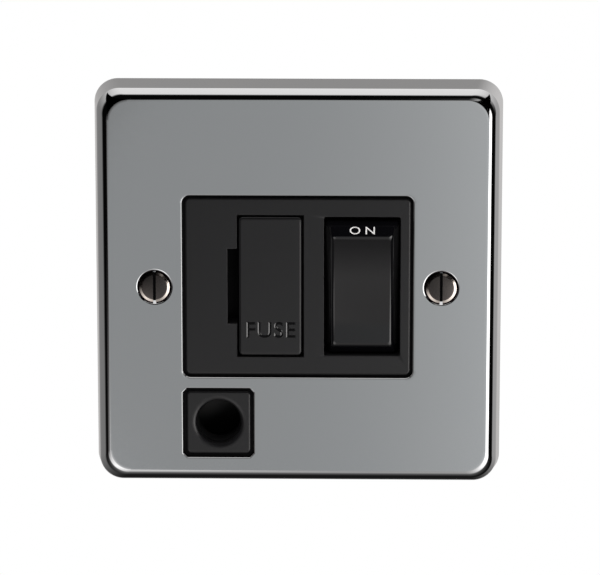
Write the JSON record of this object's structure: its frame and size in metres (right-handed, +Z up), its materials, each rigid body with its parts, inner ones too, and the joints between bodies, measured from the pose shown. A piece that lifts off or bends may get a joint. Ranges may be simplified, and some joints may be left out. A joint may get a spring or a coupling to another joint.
{
  "type": "fused spur unit",
  "caption": "Square metal-fronted fused connection unit with a rocker switch, a pull-out fuse carrier and a front flex outlet.",
  "frame": {"origin": "middle of the plate, midway between the two fixing screws, in the plane of the plate's rear rim", "axes": "+Z up as the unit is fixed, +X to the right seen from the front, +Y into the wall"},
  "size_m": [0.086, 0.0288, 0.086],
  "materials": {
    "black_nickel": "polished black nickel plate, mirror bright",
    "dark_nickel": "black nickel plated screw, bright",
    "black_moulding": "satin black thermoset moulding",
    "gloss_black": "polished black moulding",
    "white_nylon": "natural nylon",
    "ceramic": "glazed white ceramic",
    "cap_metal": "nickel plated brass cap",
    "zinc_steel": "zinc plated steel",
    "spring_steel": "drawn spring steel",
    "brass": "machined brass",
    "contact_strip": "rolled brass strip"
  },
  "bodies": {
    "housing": {"front_plate": "black_nickel", "left_fixing_screw": "dark_nickel", "right_fixing_screw": "dark_nickel", "insert_bezel": "black_moulding", "retaining_strap": "zinc_steel", "upper_fuse_clip": "contact_strip", "lower_fuse_clip": "contact_strip", "neutral_bridge": "contact_strip", "live_bridge": "contact_strip", "live_fixed_contact": "contact_strip", "neutral_fixed_contact": "contact_strip", "supply_live_terminal": "brass", "supply_neutral_terminal": "brass", "load_live_terminal": "brass", "load_neutral_terminal": "brass", "earth_terminal": "brass", "terminal_screws": "zinc_steel", "outlet_bush": "black_moulding", "base_moulding": "black_moulding", "housing_screws": "zinc_steel", "cord_clamp_bar": "black_moulding", "cord_clamp_screws": "zinc_steel"},
    "switch_rocker": {"rocker": "gloss_black", "live_plunger": "white_nylon", "neutral_plunger": "white_nylon", "live_spring": "spring_steel", "neutral_spring": "spring_steel"},
    "live_arm": {"live_contact_arm": "contact_strip"},
    "neutral_arm": {"neutral_contact_arm": "contact_strip"},
    "fuse_drawer": {"fuse_carrier": "black_moulding", "fuse_tube": "ceramic", "fuse_end_caps": "cap_metal"}
  },
  "joints": [
    {"name": "rocker_tilt", "type": "hinge", "parent": "housing", "child": "switch_rocker", "pos_m": [0.01352, -0.0036, 0], "axis": [1, 0, 0], "range_deg": [-16, 0]},
    {"name": "live_arm_rock", "type": "hinge", "parent": "housing", "child": "live_arm", "pos_m": [0.00992, 0.00714, 0], "axis": [1, 0, 0], "range_deg": [0, 12]},
    {"name": "neutral_arm_rock", "type": "hinge", "parent": "housing", "child": "neutral_arm", "pos_m": [0.01712, 0.00714, 0], "axis": [1, 0, 0], "range_deg": [0, 12]},
    {"name": "fuse_drawer_slide", "type": "slide", "parent": "housing", "child": "fuse_drawer", "axis": [0, -1, 0], "range_m": [0, 0.02]}
  ],
  "couplings": [
    {"joint": "live_arm_rock", "follows": "rocker_tilt", "ratio": -0.75},
    {"joint": "neutral_arm_rock", "follows": "rocker_tilt", "ratio": -0.75}
  ]
}
